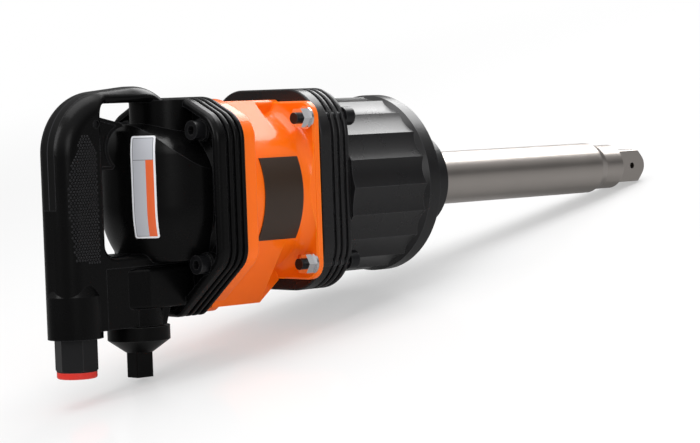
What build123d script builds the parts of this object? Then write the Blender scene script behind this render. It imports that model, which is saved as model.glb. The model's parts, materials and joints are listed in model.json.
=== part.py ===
from build123d import *
import math
import os

# Heavy-duty impact wrench with a D-handle and a long anvil, in millimetres.
# It is modelled in the tool's own frame: +X along the spindle towards the square drive, +Z up,
# XZ is the symmetry plane, and X = 0 is the front face of the hammer case's ring.
# Last, everything is laid down as the tool rests: on the reversing tab and the square drive.

# ---------------------------------------------------------------- driving dimensions
# lengths along the spindle, front to rear
CASE_LENGTH = 85.5            # ring face back to the front face of the case flange
CASE_FLANGE_LENGTH = 27.0
GASKET = 1.0
HOUSING_LENGTH = 68.5
HEAD_FLANGE_LENGTH = 25.0
GRIP_REACH = 80.0             # rear face of the head flange to the grip's centre line

# hammer case
RING_RADIUS = 64.7
RING_LENGTH = 12.0
RING_BACK_TAPER = 5.0
FLUTES = 20
FLUTE_RADIUS = 63.4
FLUTE_DEPTH = 1.5
CASE_WALL = 8.5
NOSE_RADIUS = 36.0
NOSE_LENGTH = 38.0
NOSE_CONE_LENGTH = 24.0
NOSE_WALL = 10.0
BUSHING_WALL = 5.0
CASE_FLANGE_SIDE = 7.8        # bolts' axes to the flange's flank
CASE_FLANGE_RISE = 20.6       # bolts' axes to the flange's top and bottom
CASE_FLANGE_CORNER = 34.0
RIB_PITCH = 5.6
RIB_GROOVE = 2.2
RIB_DEPTH = 2.4
RIB_COUNT = 3
RIB_SOFTNESS = 1.2            # rounding of the ribs' crests

# case bolts, a square pattern of M8
BOLT_LAND = 14.7              # barrel's surface out to the bolts' axes
BOLT_RADIUS = 4.0
BOLT_CLEARANCE = 0.4
BOLT_HEAD_RADIUS = 6.6
BOLT_HEAD_HEIGHT = 8.0
BOLT_TAIL = 3.5
NUT_ACROSS_FLATS = 13.0
NUT_HEIGHT = 6.8
WASHER_RADIUS = 8.0
WASHER_THICKNESS = 1.6
WASHER_ROOM = 1.0
NUT_POCKET_LENGTH = 14.0
HEX_KEY_ACROSS_FLATS = 6.0
HEX_KEY_DEPTH = 5.0

# motor housing
BARREL_RADIUS = 57.0
SPINE_WIDTH = 34.0
SPINE_TOP = 64.0
KEEL_WIDTH = 32.0
KEEL_BOTTOM = 78.0
SHOULDER_LENGTH = 44.5        # flat slopes beside the spine and the keel, from the housing's rear
HOUSING_COLLAR_LENGTH = 11.0  # square end that the head is screwed to
HOUSING_COLLAR_INSET = 1.8
HOUSING_COLLAR_EDGE = 2.5
KEEL_RUNOUT = 20.0            # length of the slope at the keel's front end
HOUSING_FLANGE_LENGTH = 5.0
HOUSING_FLANGE_SIDE = 7.0
HOUSING_FLANGE_RISE = 11.8
HOUSING_FLANGE_CORNER = 12.0
HOUSING_FLANGE_EDGE = 1.2
FLANGE_SWEEP = 9.0            # hollow round between the barrel and its front flange
EDGE_SOFTNESS = 4.0

# data plate and sticker, both blank
PLATE_LENGTH = 35.0
PLATE_HEIGHT = 57.0
PLATE_THICKNESS = 0.8
PLATE_DROP = 4.0              # centre of the plate below the spindle
PLATE_REACH = 17.0            # rear face of the housing to the plate
STICKER_WIDTH = 17.5
STICKER_HEIGHT = 69.0
STICKER_THICKNESS = 0.4
STICKER_CORNER = 1.6
STICKER_RISE = 8.5            # centre of the sticker above the spindle
STICKER_ANGLE = 210.0         # direction that it faces, counted from +X

# air motor
LINER_RADIUS = 44.0
LINER_BORE = 36.5
LINER_OFFSET = 2.6            # the bore is eccentric, and this high above the spindle
END_PLATE_THICKNESS = 9.0
ROTOR_RADIUS = 33.2
ROTOR_END_GAP = 0.4
VANES = 6
VANE_THICKNESS = 3.0
VANE_DEPTH = 14.0
VANE_SLOT_CLEARANCE = 0.15
BEARING_RADIUS = 16.0
BEARING_WIDTH = 8.0
JOURNAL_RADIUS = 8.0
DRIVE_HEX = 16.0              # the rotor's drive end, across flats

# hammer mechanism
CAGE_CLEARANCE = 4.9          # cage to the wall of the case
CAGE_PLATE = 11.0
CAGE_FRONT_PLATE = 8.0
CAGE_POST_ANGLE = 52.0
CAGE_POST_WALL = 6.0
CAGE_END_GAP = 2.0
HAMMER_RING_RADIUS = 33.5
HAMMER_BORE = 26.0
HAMMER_EAR_RADIUS = 9.0
HAMMER_JAW_REACH = 1.4
HAMMER_JAW_ANGLE = 40.0
HAMMER_SIDE_GAP = 0.5
HAMMER_PIN_RADIUS = 5.0
HAMMER_RELIEF = 5.0           # free space round the other hammer's pin
HAMMER_PIN_PITCH = 38.5       # spindle to pin
RUNNING_CLEARANCE = 0.05
GLUE = 0.1                    # layer under the plate and the label

# anvil
SHAFT_RADIUS = 19.9
SHAFT_LENGTH = 230.0          # from the ring face to the start of the taper
TAPER_LENGTH = 8.0
NECK_RADIUS = 17.5
NECK_LENGTH = 19.5
SQUARE = 25.4
SQUARE_LENGTH = 32.5
TIP_CHAMFER = 9.0
TIP_RADIUS = 11.5
PIN_HOLE_RADIUS = 2.5
PIN_HOLE_SETBACK = 16.5       # from the tip
LUG_RADIUS = 21.6
LUG_CORE_RADIUS = 15.5
LUG_ANGLE = 70.0
PILOT_LENGTH = 5.0
COLLAR_RADIUS = 24.0
COLLAR_LENGTH = 2.6
SEAL_WIDTH = 4.0
SEAL_CLEARANCE = 0.3

# head casting
HEAD_WIDTH = 118.0
HEAD_TOP = 68.0
HEAD_TOP_WIDTH = 48.0
BROW_HEIGHT = 51.5            # where the slopes from the top meet the flanks
CHIN_SHOULDER = 44.0          # where the flanks meet the chin's slopes, below the spindle
CHIN_BOTTOM = 83.0
CHIN_WIDTH = 20.0
TOP_CORNER = 40.0
BROW_CORNER = 22.0
SHOULDER_CORNER = 18.0
CHIN_CORNER = 10.0
HEAD_RIM = 5.0
HEAD_EDGE = 3.5
HEAD_RECESS = 8.0
BARREL_END_RADIUS = 51.0      # round body of the head, behind the recess's floor
SEAT_RIDGE_WIDTH = 3.5        # step round the foot of that body
SEAT_RIDGE_HEIGHT = 3.0
DOME_RADIUS = 47.2            # seen from above
DOME_SETBACK = 3.0            # its upright axis behind the recess's floor
DOME_UPPER_SWEEP = 30.0       # how softly its back turns over towards the top
DOME_UPPER_START = 30.0       # the back is upright up to this height over the spindle
DOME_LOWER_SWEEP = 62.0
DOME_LOWER_START = 5.0
DOME_FLOOR = 43.5             # underside of the dome, below the spindle
DOME_LIP = 4.0
NECK_COLUMN_RADIUS = 25.0     # column that carries the arch
SCREW_SPREAD_Y = 40.0
SCREW_SPREAD_Z = 45.5
SCREW_RADIUS = 4.0
SCREW_HEAD_RADIUS = 6.5
SCREW_HEAD_HEIGHT = 8.0
SCREW_WASHER_RADIUS = 7.4
SCREW_DEPTH = 10.2
SCREW_ROOM = 20.0             # free length behind the recess for the screws' heads and the key
SCREW_SEAT_RADIUS = 8.0
SCREW_SEAT_HEIGHT = 5.0       # bosses on the recess's floor, under the screws

# handle
GRIP_HALF_WIDTH = 16.5
GRIP_BACK = 17.5              # centre line to the rear of the grip
GRIP_FRONT = 16.5             # centre line to the finger side
ARCH_TOP = 80.0               # the arch's line where it would meet the head's recess
ARCH_REAR_TOP = 70.5          # the same line above the back of the grip
ARCH_CORNER = 42.0
ARCH_FRONT_CORNER = 37.0
ARCH_EDGE = 13.0              # round back of the grip, and on over the arch
OPENING_TOP = 65.5
OPENING_CORNER = 8.0
OPENING_FRONT_CORNER = 12.0
OPENING_EDGE = 3.5
OPENING_SETBACK = 9.0         # the opening's front wall behind the head flange's rear face
BRIDGE_TOP = 37.0             # below the spindle
BRIDGE_BOTTOM = 86.0
BRIDGE_HALF_WIDTH = 14.0
BRIDGE_SHOULDER = 45.0        # below this the bridge is narrower than the grip
HEEL_SLOPE = 4.0
INLET_BOSS_RADIUS = 18.7
INLET_BOSS_TOP = 62.0
INLET_BOSS_BOTTOM = 90.5
INLET_BOSS_TAPER = 16.0
STRIP_WIDTH = 13.0
STRIP_DEPTH = 3.0
STRIP_BOTTOM = -4.0
STRIP_FORWARD = 14.0          # the strip's upper end in front of the grip's centre line

# air inlet
INLET_HEX = 25.4
INLET_HEX_LENGTH = 22.0
INLET_BORE = 9.5
INLET_THREAD_RADIUS = 11.5
INLET_THREAD_LENGTH = 14.0
PLUG_RADIUS = 13.6
PLUG_FLANGE = 4.5
PLUG_SPIGOT_LENGTH = 9.0
PLUG_WALL = 1.5
STRAINER_LENGTH = 16.0
AIR_PASSAGE_RADIUS = 8.0

# trigger and throttle
TRIGGER_HALF_WIDTH = 8.0
TRIGGER_SLOT_CLEARANCE = 0.4
TRIGGER_PIVOT_BACK = 11.5     # the pin's axis in front of the grip's centre line
TRIGGER_PIVOT_HEIGHT = 52.0
TRIGGER_PIN_RADIUS = 2.5
TRIGGER_BOTTOM = 21.0
TRIGGER_REACH = 16.5          # how far the trigger's lower end stands out of the grip
TRIGGER_WAIST = 11.0          # how far its hollow face stands out, where it is deepest
TRIGGER_WAIST_RISE = 12.0     # height of that place over the trigger's bottom
TRIGGER_TOE = 2.6             # slant under its lower end
TRIGGER_BROW = 5.0            # top of its face over the pin's axis
TRIGGER_KNUCKLE = 4.6
TRIGGER_LINK = 3.0
TRIGGER_LIP = 25.2            # how far its top lip stands out
TRIGGER_RIM = 2.4             # raised border of its sides
TRIGGER_RELIEF = 0.8
TRIGGER_TRAVEL = 10.0         # free depth of the slot behind the trigger
THROTTLE_HEIGHT = 30.0
THROTTLE_STEM_RADIUS = 3.5
THROTTLE_HEAD_RADIUS = 6.0
THROTTLE_HEAD_LENGTH = 3.0
THROTTLE_CHAMBER_RADIUS = 7.0
CHAMBER_WALL = 1.2
THROTTLE_SEAT_WIDTH = 2.5
THROTTLE_PLUG_WIDTH = 4.0
CONTACT_GAP = 0.3
STEM_GAP = 0.6                # throttle stem to the trigger
WIRE_RADIUS = 0.5

# reversing valve
REVERSE_SETBACK = 26.0        # the valve's axis behind the head flange's rear face
VALVE_BLOCK_RADIUS = 17.5     # round foot of the valve's housing, over the knob
HOUSING_HALF_WIDTH = 20.0
HOUSING_TOP = 46.5            # top of the housing, below the spindle
HOUSING_SHELF = 74.0          # underside of the housing in front of the knob, below the spindle
HOUSING_FLANK = 4.5           # the housing's flank starts this far behind the valve's axis
HOUSING_CHEEK = 14.0          # its rear corners are cut back over this length
HOUSING_EDGE = 2.5
VALVE_RADIUS = 12.0
VALVE_LENGTH = 34.0
VALVE_PORT_RADIUS = 4.5
KNOB_RADIUS = 21.5
KNOB_RIM = 9.5
KNOB_CONE = 8.5
KNOB_HUB_RADIUS = 9.5
TAB_WIDTH = 14.0
TAB_THICKNESS = 12.5
TAB_BOTTOM = 121.5
TAB_CORNER = 1.5
DETENT_RADIUS = 2.5
DETENT_DEPTH = 12.0
DETENT_DROP = 8.0
DETENT_BITE = 0.7             # how far the ball stands into the valve's groove
RETAINER_RADIUS = 1.2

# ---------------------------------------------------------------- stations along the spindle
x_case_front = 0.0
x_flange_front = x_case_front - CASE_LENGTH
x_flange_rear = x_flange_front - CASE_FLANGE_LENGTH
x_housing_front = x_flange_rear - GASKET
x_housing_rear = x_housing_front - HOUSING_LENGTH
x_head_front = x_housing_rear - GASKET
x_head_rear = x_head_front - HEAD_FLANGE_LENGTH
x_head_floor = x_head_rear + HEAD_RECESS
x_grip = x_head_rear - GRIP_REACH
x_dome = x_head_floor - DOME_SETBACK
x_screw_seat = x_head_floor - SCREW_SEAT_HEIGHT
x_valve = x_head_rear - REVERSE_SETBACK
x_neck = x_case_front + SHAFT_LENGTH + TAPER_LENGTH
x_square = x_neck + NECK_LENGTH
x_tip = x_square + SQUARE_LENGTH

bolt_offset = (BARREL_RADIUS + BOLT_LAND) / math.sqrt(2)
housing_flange_half = bolt_offset + HOUSING_FLANGE_RISE
cage_radius = FLUTE_RADIUS - CASE_WALL - CAGE_CLEARANCE

parts = {}


# ---------------------------------------------------------------- shared shapes
def rod_x(radius, x_from, x_to, y=0.0, z=0.0):
    """Round bar along the spindle's direction."""
    length = abs(x_to - x_from)
    middle = (x_from + x_to) / 2
    return Pos(middle, y, z) * Rot(0, 90, 0) * Cylinder(radius, length)


def rod_y(radius, length, x, z):
    return Pos(x, 0, z) * Rot(90, 0, 0) * Cylinder(radius, length)


def rod_z(radius, z_from, z_to, x, y=0.0):
    length = abs(z_to - z_from)
    return Pos(x, y, (z_from + z_to) / 2) * Cylinder(radius, length)


def block(x_from, x_to, half_width, z_from, z_to):
    """Box that is centred on the symmetry plane."""
    size = (abs(x_to - x_from), 2 * half_width, abs(z_to - z_from))
    return Pos((x_from + x_to) / 2, 0, (z_from + z_to) / 2) * Box(*size)


def along_x(outline, x_from, x_to):
    """Prism from an outline drawn in Y and Z."""
    start = min(x_from, x_to)
    return extrude(Plane.YZ.offset(start) * outline, amount=abs(x_to - x_from), dir=(1, 0, 0))


def from_side(outline, half_width):
    """Prism from an outline drawn in X and Z, equal on both sides of the symmetry plane."""
    return extrude(Plane.XZ * outline, amount=half_width, both=True)


def turned(points):
    """Solid of revolution about the spindle, from (x, radius) points."""
    profile = make_face(Polyline(*points, close=True))
    return revolve(Plane.XZ * profile, Axis.X)


def four_corners(spread_y, spread_z):
    return [(y, z) for y in (-spread_y, spread_y) for z in (-spread_z, spread_z)]


def group(solids):
    return Compound(children=list(solids))


def coil(radius, length, turns):
    """Compression spring along +Z from its foot."""
    path = Helix(pitch=length / turns, height=length, radius=radius)
    section = Plane(origin=path @ 0, z_dir=path % 0) * Circle(WIRE_RADIUS)
    return sweep(section, path=path, is_frenet=True)


# ---------------------------------------------------------------- outlines of the two flanges
def case_outline():
    return RectangleRounded(
        2 * (bolt_offset + CASE_FLANGE_SIDE), 2 * (bolt_offset + CASE_FLANGE_RISE), CASE_FLANGE_CORNER)


def head_outline():
    """Eight-sided outline with soft corners: a sloped brow, flat flanks and a chin below."""
    half = HEAD_WIDTH / 2
    outline = Polygon(
        (-HEAD_TOP_WIDTH / 2, HEAD_TOP), (-half, BROW_HEIGHT), (-half, -CHIN_SHOULDER),
        (-CHIN_WIDTH / 2, -CHIN_BOTTOM), (CHIN_WIDTH / 2, -CHIN_BOTTOM), (half, -CHIN_SHOULDER),
        (half, BROW_HEIGHT), (HEAD_TOP_WIDTH / 2, HEAD_TOP), align=None)
    for height, radius in ((HEAD_TOP, TOP_CORNER), (BROW_HEIGHT, BROW_CORNER),
                           (-CHIN_SHOULDER, SHOULDER_CORNER), (-CHIN_BOTTOM, CHIN_CORNER)):
        pair = outline.vertices().filter_by(lambda v: abs(v.Y - height) < 0.001)
        outline = fillet(pair, radius)
    return outline


def ribbed(outline, x_rear, x_front, rear_edge):
    """Flange with a plain band at its rear, then soft ribs that run round it up to its front."""
    solid = along_x(offset(outline, -RIB_DEPTH), x_rear + rear_edge, x_front)
    crest = RIB_PITCH - RIB_GROOVE
    band = along_x(outline, x_rear, x_front - RIB_PITCH * RIB_COUNT)
    band = fillet(band.edges().group_by(Axis.X)[-1], RIB_SOFTNESS)
    solid += fillet(band.edges().group_by(Axis.X)[0], rear_edge)
    for rib in range(RIB_COUNT):
        x_outer = x_front - RIB_PITCH * rib
        ridge = along_x(outline, x_outer - crest, x_outer)
        ends = ridge.edges().group_by(Axis.X)
        solid += fillet(ends[0] + ends[-1], RIB_SOFTNESS)
    return solid


# ---------------------------------------------------------------- hammer case
def hammer_case():
    flange = ribbed(case_outline(), x_flange_rear, x_flange_front, RIB_SOFTNESS)
    x_ring = x_case_front - RING_LENGTH
    ring = turned([
        (x_ring - RING_BACK_TAPER, 0), (x_ring - RING_BACK_TAPER, FLUTE_RADIUS - FLUTE_DEPTH - 1),
        (x_ring, RING_RADIUS), (x_case_front - 1.5, RING_RADIUS), (x_case_front, RING_RADIUS - 1.5),
        (x_case_front + 3, RING_RADIUS - 6), (x_case_front + NOSE_CONE_LENGTH - 4, NOSE_RADIUS + 5),
        (x_case_front + NOSE_CONE_LENGTH, NOSE_RADIUS), (x_case_front + NOSE_LENGTH - 2, NOSE_RADIUS),
        (x_case_front + NOSE_LENGTH, NOSE_RADIUS - 2), (x_case_front + NOSE_LENGTH, 0)])
    body = rod_x(FLUTE_RADIUS, x_flange_front, x_ring)
    # broad hollow flutes run the length of the case
    half_step = math.pi / FLUTES
    chord = FLUTE_RADIUS * math.sin(half_step)
    flute_radius = (chord ** 2 + FLUTE_DEPTH ** 2) / (2 * FLUTE_DEPTH) * 1.6
    reach = FLUTE_RADIUS * math.cos(half_step) + math.sqrt(flute_radius ** 2 - chord ** 2)
    cutters = []
    for flute in range(FLUTES):
        turn = Rot(360.0 / FLUTES * (flute + 0.5), 0, 0)
        cutters.append(turn * rod_x(flute_radius, x_flange_front, x_ring, 0, reach))
    body -= cutters
    cavity_radius = FLUTE_RADIUS - CASE_WALL
    x_wall = x_case_front - NOSE_WALL
    solid = flange + body + ring
    solid -= turned([
        (x_flange_rear, 0), (x_flange_rear, cavity_radius), (x_wall - 4, cavity_radius),
        (x_wall, cavity_radius - 4), (x_wall, 0)])
    solid -= rod_x(nose_bore, x_wall, x_case_front + NOSE_LENGTH)
    for y, z in four_corners(bolt_offset, bolt_offset):
        solid -= rod_x(BOLT_RADIUS + BOLT_CLEARANCE, x_flange_rear, x_flange_front, y, z)
        # spot face under the bolt's head, cut into the root of the flutes
        solid -= rod_x(BOLT_HEAD_RADIUS + 1, x_flange_front, x_flange_front + BOLT_HEAD_HEIGHT + 3, y, z)
    return solid


nose_bore = SHAFT_RADIUS + RUNNING_CLEARANCE + BUSHING_WALL
parts["hammer_case"] = hammer_case()

x_nose_wall = x_case_front - NOSE_WALL
x_nose_end = x_case_front + NOSE_LENGTH
parts["anvil_bushing"] = (
    rod_x(nose_bore, x_nose_wall, x_nose_end - SEAL_WIDTH)
    - rod_x(SHAFT_RADIUS + RUNNING_CLEARANCE, x_nose_wall, x_nose_end))
parts["nose_seal"] = (
    rod_x(nose_bore, x_nose_end - SEAL_WIDTH, x_nose_end)
    - rod_x(SHAFT_RADIUS + SEAL_CLEARANCE, x_nose_wall, x_nose_end))


# ---------------------------------------------------------------- case bolts, nuts and washers
def case_fasteners():
    bolts, nuts, washers = [], [], []
    x_flange_back = x_housing_front - HOUSING_FLANGE_LENGTH
    x_nut = x_flange_back - WASHER_THICKNESS
    x_bolt_end = x_nut - NUT_HEIGHT - BOLT_TAIL
    x_head = x_flange_front + BOLT_HEAD_HEIGHT
    for y, z in four_corners(bolt_offset, bolt_offset):
        head = rod_x(BOLT_HEAD_RADIUS, x_flange_front, x_head, y, z)
        socket = along_x(Pos(y, z) * RegularPolygon(HEX_KEY_ACROSS_FLATS / 2, 6, major_radius=False),
                         x_head - HEX_KEY_DEPTH, x_head)
        shank = rod_x(BOLT_RADIUS, x_bolt_end, x_flange_front, y, z)
        bolts.append(head + shank - socket)
        bore = rod_x(BOLT_RADIUS, x_bolt_end, x_flange_back, y, z)
        hexagon = Pos(y, z) * RegularPolygon(NUT_ACROSS_FLATS / 2, 6, major_radius=False)
        nuts.append(along_x(hexagon, x_nut - NUT_HEIGHT, x_nut) - bore)
        washers.append(rod_x(WASHER_RADIUS, x_nut, x_flange_back, y, z) - bore)
    return group(bolts), group(nuts), group(washers)


parts["case_bolts"], parts["case_nuts"], parts["case_washers"] = case_fasteners()


# ---------------------------------------------------------------- motor housing
def housing_flange():
    return RectangleRounded(
        2 * (bolt_offset + HOUSING_FLANGE_SIDE), 2 * housing_flange_half, HOUSING_FLANGE_CORNER)


def shoulders(half_width, height):
    """Outline of the spine or the keel whose flanks slope down to touch the barrel."""
    reach = math.hypot(half_width, height)
    turn = math.atan2(abs(height), half_width) - math.acos(BARREL_RADIUS / reach)
    y_touch = BARREL_RADIUS * math.cos(turn)
    z_touch = math.copysign(BARREL_RADIUS * math.sin(turn), height)
    return Polygon(
        (0, 0), (y_touch, z_touch), (half_width, height), (-half_width, height), (-y_touch, z_touch),
        align=None)


def flange_sweep():
    """Hollow round that leads from the barrel up to the back of the front flange."""
    x_back = x_housing_front - HOUSING_FLANGE_LENGTH
    x_root = x_back - FLANGE_SWEEP
    middle = FLANGE_SWEEP * math.sin(math.pi / 4)
    root, rim = (x_root, BARREL_RADIUS), (x_back, BARREL_RADIUS + FLANGE_SWEEP)
    border = [
        Line((x_root, 0), root), ThreePointArc(root, (x_root + middle, rim[1] - middle), rim),
        Line(rim, (x_back, 0)), Line((x_back, 0), (x_root, 0))]
    ring = revolve(Plane.XZ * make_face(border), Axis.X)
    return ring & along_x(housing_flange(), x_root, x_back)


def motor_housing():
    x_back = x_housing_front - HOUSING_FLANGE_LENGTH
    x_shoulder = x_housing_rear + SHOULDER_LENGTH
    spine = block(x_housing_rear, x_housing_front, SPINE_WIDTH / 2, 0, SPINE_TOP)
    spine = fillet(spine.edges().filter_by(Axis.X).group_by(Axis.Z)[-1], EDGE_SOFTNESS)
    keel = block(x_housing_rear, x_back, KEEL_WIDTH / 2, 0, -KEEL_BOTTOM)
    keel += along_x(shoulders(KEEL_WIDTH / 2, -KEEL_BOTTOM), x_housing_rear, x_shoulder)
    # the keel runs out into the flange by a slope
    keel -= from_side(Polygon(
        (x_back + 1, -housing_flange_half), (x_back + 1, -KEEL_BOTTOM - 1),
        (x_back - KEEL_RUNOUT, -KEEL_BOTTOM - 1), align=None), BARREL_RADIUS)
    solid = rod_x(BARREL_RADIUS, x_housing_rear, x_housing_front) + spine + keel
    solid += along_x(shoulders(SPINE_WIDTH / 2, SPINE_TOP), x_housing_rear, x_shoulder)
    collar = along_x(offset(head_outline(), -HOUSING_COLLAR_INSET),
                     x_housing_rear, x_housing_rear + HOUSING_COLLAR_LENGTH)
    solid += fillet(collar.edges().group_by(Axis.X)[-1], HOUSING_COLLAR_EDGE)
    flange = along_x(housing_flange(), x_back, x_housing_front)
    solid += chamfer(flange.edges().group_by(Axis.X)[0], HOUSING_FLANGE_EDGE)
    solid += flange_sweep()
    solid -= rod_x(LINER_RADIUS, x_housing_rear, x_housing_front)
    for y, z in four_corners(SCREW_SPREAD_Y, SCREW_SPREAD_Z):
        solid -= rod_x(SCREW_RADIUS, x_housing_rear, x_housing_rear + SCREW_DEPTH, y, z)
    for y, z in four_corners(bolt_offset, bolt_offset):
        solid -= rod_x(BOLT_RADIUS + BOLT_CLEARANCE, x_back, x_housing_front, y, z)
        solid -= rod_x(WASHER_RADIUS + WASHER_ROOM, x_back - NUT_POCKET_LENGTH, x_back, y, z)
    return solid


parts["motor_housing"] = motor_housing()


def gasket(outline, x_from, x_to, holes, hole_radius):
    solid = along_x(offset(outline, -RIB_DEPTH), x_from, x_to) - rod_x(LINER_RADIUS, x_from, x_to)
    for y, z in holes:
        solid -= rod_x(hole_radius, x_from, x_to, y, z)
    return solid


parts["front_gasket"] = gasket(
    housing_flange(), x_housing_front, x_flange_rear,
    four_corners(bolt_offset, bolt_offset), BOLT_RADIUS + BOLT_CLEARANCE)
parts["rear_gasket"] = gasket(
    head_outline(), x_head_front, x_housing_rear,
    four_corners(SCREW_SPREAD_Y, SCREW_SPREAD_Z), SCREW_RADIUS + BOLT_CLEARANCE)


def data_plate():
    """Blank plate, bent round the barrel."""
    x_rear = x_housing_rear + PLATE_REACH
    shell = rod_x(BARREL_RADIUS + GLUE + PLATE_THICKNESS, x_rear, x_rear + PLATE_LENGTH)
    shell -= rod_x(BARREL_RADIUS + GLUE, x_rear, x_rear + PLATE_LENGTH)
    window = Pos(x_rear + PLATE_LENGTH / 2, -BARREL_RADIUS, -PLATE_DROP) * Box(
        PLATE_LENGTH, BARREL_RADIUS, PLATE_HEIGHT)
    return shell & window


parts["data_plate"] = data_plate()

# ---------------------------------------------------------------- air motor
x_liner_rear = x_housing_rear + END_PLATE_THICKNESS
x_liner_front = x_housing_front - END_PLATE_THICKNESS


def end_plate(x_from, x_to, x_pocket, shaft_radius):
    """Round plate with a pocket for the bearing and a hole for the shaft."""
    solid = rod_x(LINER_RADIUS, x_from, x_to)
    towards = math.copysign(BEARING_WIDTH, (x_from + x_to) / 2 - x_pocket)
    solid -= rod_x(BEARING_RADIUS, x_pocket, x_pocket + towards)
    return solid - rod_x(shaft_radius + 1, x_from, x_to)


def bearing(x_from, x_to, bore):
    """Two races with a shielded ring of balls between them, drawn closed."""
    solid = rod_x(BEARING_RADIUS, x_from, x_to) - rod_x(bore + RUNNING_CLEARANCE, x_from, x_to)
    race = (BEARING_RADIUS - bore) / 3
    groove = rod_x(BEARING_RADIUS - race, x_from, x_from + 0.6) - rod_x(bore + race, x_from, x_from + 0.6)
    solid -= groove
    return solid - Pos(x_to - x_from - 0.6, 0, 0) * groove


drive_radius = DRIVE_HEX / math.sqrt(3) + 0.2
x_rear_pocket = x_housing_rear
x_front_pocket = x_housing_front
parts["rear_end_plate"] = end_plate(x_housing_rear, x_liner_rear, x_rear_pocket, JOURNAL_RADIUS)
parts["front_end_plate"] = end_plate(x_liner_front, x_housing_front, x_front_pocket, drive_radius)
parts["rear_bearing"] = bearing(x_rear_pocket, x_rear_pocket + BEARING_WIDTH, JOURNAL_RADIUS)
parts["front_bearing"] = bearing(x_front_pocket - BEARING_WIDTH, x_front_pocket, drive_radius)
parts["cylinder_liner"] = (
    rod_x(LINER_RADIUS, x_liner_rear, x_liner_front)
    - rod_x(LINER_BORE, x_liner_rear, x_liner_front, 0, LINER_OFFSET))

x_cage_rear = x_housing_front + CAGE_END_GAP + GASKET
x_rotor_rear = x_liner_rear + ROTOR_END_GAP
x_rotor_front = x_liner_front - ROTOR_END_GAP
x_drive_end = x_cage_rear + CAGE_PLATE - PILOT_LENGTH


def vane_box(thickness, depth, extra=0.0):
    """One vane in its slot above the spindle."""
    height = depth + extra
    middle = ROTOR_RADIUS - depth + height / 2
    length = x_rotor_front - x_rotor_rear
    return Pos((x_rotor_front + x_rotor_rear) / 2, 0, middle) * Box(length, thickness, height)


def rotor():
    solid = rod_x(ROTOR_RADIUS, x_rotor_rear, x_rotor_front)
    solid += rod_x(JOURNAL_RADIUS, x_rear_pocket, x_rotor_rear)
    solid += rod_x(drive_radius, x_rotor_front, x_housing_front)
    hexagon = RegularPolygon(DRIVE_HEX / 2, 6, major_radius=False)
    solid += along_x(hexagon, x_housing_front, x_drive_end)
    for vane in range(VANES):
        slot = vane_box(VANE_THICKNESS + 2 * VANE_SLOT_CLEARANCE, VANE_DEPTH, 2.0)
        solid -= Rot(360.0 / VANES * vane, 0, 0) * slot
    return solid


parts["rotor"] = rotor()
for vane in range(VANES):
    blade = vane_box(VANE_THICKNESS, VANE_DEPTH - VANE_SLOT_CLEARANCE)
    blade = Pos(0, 0, VANE_SLOT_CLEARANCE) * blade
    parts["vane_%d" % (vane + 1)] = Rot(360.0 / VANES * vane, 0, 0) * blade

# ---------------------------------------------------------------- hammer cage, pins and hammers
x_cage_front = x_nose_wall - COLLAR_LENGTH - 2 * HAMMER_SIDE_GAP
x_gap_rear = x_cage_rear + CAGE_PLATE
x_gap_front = x_cage_front - CAGE_FRONT_PLATE
hammer_length = (x_gap_front - x_gap_rear - 3 * HAMMER_SIDE_GAP) / 2


def wedge(angle, radius, x_from, x_to, facing):
    """Sector of a disc; facing is counted from +Y towards +Z."""
    steps = [-angle / 2, -angle / 4, 0, angle / 4, angle / 2]
    points = [(0, 0)]
    for step in steps:
        turn = math.radians(facing + step)
        points.append((2 * radius * math.cos(turn), 2 * radius * math.sin(turn)))
    return along_x(Polygon(*points, align=None), x_from, x_to)


def hammer_cage():
    solid = rod_x(cage_radius, x_cage_rear, x_gap_rear)
    solid += rod_x(cage_radius, x_gap_front, x_cage_front)
    post = rod_x(cage_radius, x_gap_rear, x_gap_front)
    post -= rod_x(cage_radius - CAGE_POST_WALL, x_gap_rear, x_gap_front)
    for facing in (0, 180):
        solid += post & wedge(CAGE_POST_ANGLE, cage_radius, x_gap_rear, x_gap_front, facing)
    hexagon = RegularPolygon(DRIVE_HEX / 2 + RUNNING_CLEARANCE, 6, major_radius=False)
    solid -= along_x(hexagon, x_cage_rear, x_drive_end)
    solid -= rod_x(JOURNAL_RADIUS + RUNNING_CLEARANCE, x_drive_end, x_gap_rear)
    solid -= rod_x(LUG_RADIUS + 1.0, x_gap_front, x_cage_front)
    for side in (-1, 1):
        z = side * HAMMER_PIN_PITCH
        solid -= rod_x(HAMMER_PIN_RADIUS, x_cage_rear, x_cage_front, 0, z)
    return solid


def hammer(x_from, x_to, side):
    """Swinging hammer: a ring round the anvil, hung on the pin at one side."""
    ring = rod_x(HAMMER_RING_RADIUS, x_from, x_to)
    ear = rod_x(HAMMER_EAR_RADIUS, x_from, x_to, 0, side * HAMMER_PIN_PITCH)
    web = Pos((x_from + x_to) / 2, 0, side * (HAMMER_PIN_PITCH - HAMMER_EAR_RADIUS)) * Box(
        x_to - x_from, 2 * HAMMER_EAR_RADIUS, 2 * HAMMER_EAR_RADIUS)
    solid = ring + ear + web - rod_x(HAMMER_BORE, x_from, x_to)
    jaw = rod_x(HAMMER_BORE + 1, x_from, x_to) - rod_x(HAMMER_BORE - HAMMER_JAW_REACH, x_from, x_to)
    for facing in (0, 180):
        solid += jaw & wedge(HAMMER_JAW_ANGLE, HAMMER_BORE, x_from, x_to, facing)
    return solid - rod_x(HAMMER_PIN_RADIUS + RUNNING_CLEARANCE, x_from, x_to, 0, side * HAMMER_PIN_PITCH)


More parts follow.
